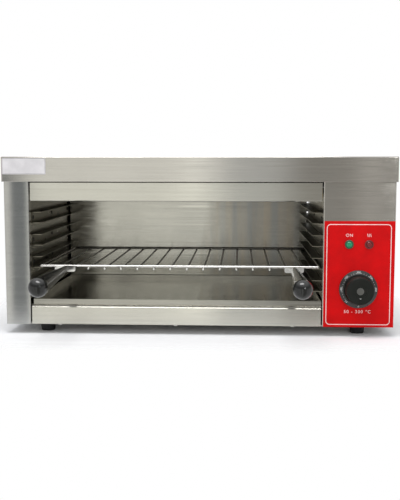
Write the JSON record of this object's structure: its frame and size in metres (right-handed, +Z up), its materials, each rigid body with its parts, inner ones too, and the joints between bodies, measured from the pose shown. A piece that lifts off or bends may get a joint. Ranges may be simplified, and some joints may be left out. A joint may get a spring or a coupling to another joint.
{
  "type": "countertop salamander grill",
  "caption": "Countertop cheese melter: folded steel case, open front, wire shelf with handles on runners, crumb tray, control panel with dial and lamps.",
  "frame": {"origin": "middle of the overall box at rest, on the surface that the feet stand on", "axes": "+X to the right seen from the front, +Y to the back, +Z up"},
  "size_m": [0.61, 0.5222, 0.2785],
  "materials": {
    "steel": "satin, brushed",
    "liner_steel": "bright, faintly brushed",
    "wire": "plated, bright",
    "bakelite": "moulded, glossy black",
    "knob_black": "moulded, satin black with a green-grey cast",
    "label_red": "printed plastic film",
    "badge_white": "plain white plate",
    "rubber": "matt black",
    "lamp_green": "translucent green",
    "lamp_red": "translucent red, faceted",
    "lamp_rim_green": "dark green moulding",
    "lamp_rim_red": "dark red moulding",
    "nylon_black": "black nylon",
    "phenolic": "dark moulded thermostat case",
    "ceramic": "white porcelain",
    "brass": "plain brass",
    "zinc": "zinc plated",
    "heater_steel": "heat-tinted sheathed tube",
    "bulb_copper": "drawn copper",
    "wire_brown": "brown insulation",
    "wire_blue": "blue insulation",
    "wire_green": "green and yellow insulation",
    "cap_metal": "turned disc"
  },
  "bodies": {
    "case": {"top_cover": "steel", "badge_plate": "badge_white", "left_side_casing": "steel", "right_side_casing": "steel", "front_header_rail": "steel", "bottom_front_rail": "steel", "back_panel": "steel", "base_plate": "steel", "cavity_left_wall": "liner_steel", "cavity_right_wall": "liner_steel", "cavity_back_wall": "liner_steel", "cavity_roof": "liner_steel", "cavity_floor": "liner_steel", "runners_left": "liner_steel", "runners_right": "liner_steel", "runner_rivets": "zinc", "heating_element_front": "heater_steel", "heating_element_rear": "heater_steel", "element_brackets": "liner_steel", "element_bushes": "brass", "element_nuts": "brass", "element_insulators": "ceramic", "element_terminals": "zinc", "control_label": "label_red", "power_lamp_bezel": "lamp_rim_green", "power_lamp_lens": "lamp_green", "power_lamp_body": "nylon_black", "heat_lamp_bezel": "lamp_rim_red", "heat_lamp_lens": "lamp_red", "heat_lamp_body": "nylon_black", "lamp_leads": "wire_brown", "dial_ring": "knob_black", "thermostat_body": "phenolic", "thermostat_nut": "brass", "thermostat_blades": "brass", "capillary_tube": "bulb_copper", "thermostat_bulb": "bulb_copper", "bulb_clips": "liner_steel", "cable_gland_body": "nylon_black", "cable_gland_cap": "nylon_black", "cable_gland_locknut": "nylon_black", "terminal_block": "ceramic", "terminal_block_screws": "brass", "live_wires": "wire_brown", "neutral_wires": "wire_blue", "earth_wire": "wire_green", "earth_stud": "zinc", "rubber_feet": "rubber", "foot_screws": "zinc", "case_screws": "zinc"},
    "shelf": {"shelf_frame": "wire", "shelf_bars": "wire", "handle_brackets": "wire", "left_handle_grip": "bakelite", "right_handle_grip": "bakelite"},
    "tray": {"crumb_tray": "liner_steel"},
    "knob": {"temperature_knob": "knob_black", "knob_cap": "cap_metal", "thermostat_shaft": "zinc"}
  },
  "joints": [
    {"name": "shelf_slide", "type": "slide", "parent": "case", "child": "shelf", "axis": [0, -1, 0], "range_m": [0, 0.2]},
    {"name": "tray_slide", "type": "slide", "parent": "case", "child": "tray", "axis": [0, -1, 0], "range_m": [0, 0.24]},
    {"name": "knob_turn", "type": "hinge", "parent": "case", "child": "knob", "pos_m": [0.248, -0.08891, 0.0747], "axis": [0, 1, 0], "range_deg": [0, 270]}
  ]
}
